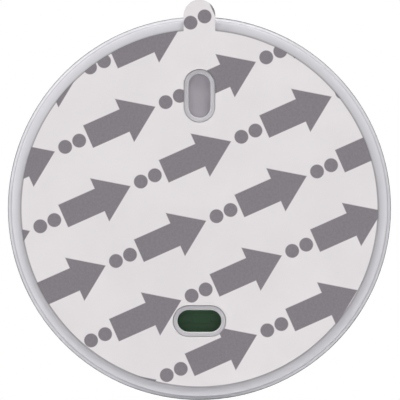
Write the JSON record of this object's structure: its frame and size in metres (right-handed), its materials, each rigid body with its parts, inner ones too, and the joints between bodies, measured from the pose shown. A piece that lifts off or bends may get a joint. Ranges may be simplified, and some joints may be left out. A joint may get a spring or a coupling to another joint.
{
  "type": "smoke alarm",
  "caption": "Round stick-on smoke alarm with a twist-lock back plate that has screw slots, a central test button, side smoke inlets and sounder holes in its front.",
  "frame": {"origin": "centre of the release liner's outer face. The adhesive face, which sticks to the wall or ceiling once the liner is off, is 0.15 mm further in", "axes": "-Y out of the back, into the wall; +Y out of the front; +Z to the pull tab, through both screw slots"},
  "size_m": [0.075, 0.03, 0.0783],
  "materials": {
    "case_plastic": "fine satin grain",
    "plate_plastic": "fine satin grain",
    "button_plastic": "fine satin grain",
    "liner_film": "smooth printed film",
    "foam": "matt closed-cell foam",
    "cell_wrap": "gloss shrink wrap",
    "nickel": "nickel plated",
    "zinc_screw": "zinc plated",
    "board_mask": "green solder mask",
    "chip_black": "moulded epoxy",
    "coil_copper": "enamelled copper on ferrite",
    "can_aluminium": "sleeved can",
    "chip_ceramic": "glazed chip",
    "lamp_resin": "clear resin",
    "clear_acrylic": "polished clear rod",
    "chamber_black": "matt black, light absorbing",
    "mesh_steel": "etched thin sheet",
    "diode_resin": "dark infrared resin",
    "tin_plate": "bright tin",
    "sounder_black": "moulded black",
    "brass_disc": "rolled brass",
    "piezo_ceramic": "silvered ceramic",
    "switch_brown": "moulded phenolic",
    "plunger_plastic": "moulded"
  },
  "bodies": {
    "base": {"adhesive_pad": "foam", "mounting_plate": "plate_plastic"},
    "liner": {"release_liner": "liner_film"},
    "alarm": {"rear_housing": "case_plastic", "battery_door": "plate_plastic", "lithium_cell": "cell_wrap", "positive_contact": "nickel", "negative_contact": "nickel", "circuit_board": "board_mask", "board_screws": "zinc_screw", "case_screws": "zinc_screw", "controller_chip": "chip_black", "driver_transistor": "chip_black", "booster_coil": "coil_copper", "capacitors": "can_aluminium", "chip_resistors": "chip_ceramic", "indicator_lamp": "lamp_resin", "light_pipe": "clear_acrylic", "chamber_base": "chamber_black", "chamber_cover": "chamber_black", "insect_mesh": "mesh_steel", "infrared_emitter": "diode_resin", "photodiode": "diode_resin", "photodiode_shield": "tin_plate", "sounder_base": "sounder_black", "sounder_cup": "sounder_black", "sounder_disc": "brass_disc", "sounder_element": "piezo_ceramic", "sounder_springs": "brass_disc", "switch_body": "switch_brown", "front_cover": "case_plastic"},
    "button": {"test_button": "button_plastic"},
    "plunger": {"switch_plunger": "plunger_plastic"}
  },
  "joints": [
    {"name": "plate_twist", "type": "hinge", "parent": "base", "child": "alarm", "pos_m": [0, 0, 0], "axis": [0, 1, 0], "range_deg": [0, 15]},
    {"name": "liner_lift", "type": "slide", "parent": "base", "child": "liner", "axis": [0, -1, 0], "range_m": [0, 0.03]},
    {"name": "button_press", "type": "slide", "parent": "alarm", "child": "button", "axis": [0, -1, 0], "range_m": [0, 0.0008], "stiffness_N_per_m": 1200, "springref_m": -0.0005},
    {"name": "plunger_press", "type": "slide", "parent": "alarm", "child": "plunger", "axis": [0, -1, 0], "range_m": [0, 0.0008]}
  ],
  "couplings": [
    {"joint": "plunger_press", "follows": "button_press", "ratio": 1}
  ]
}
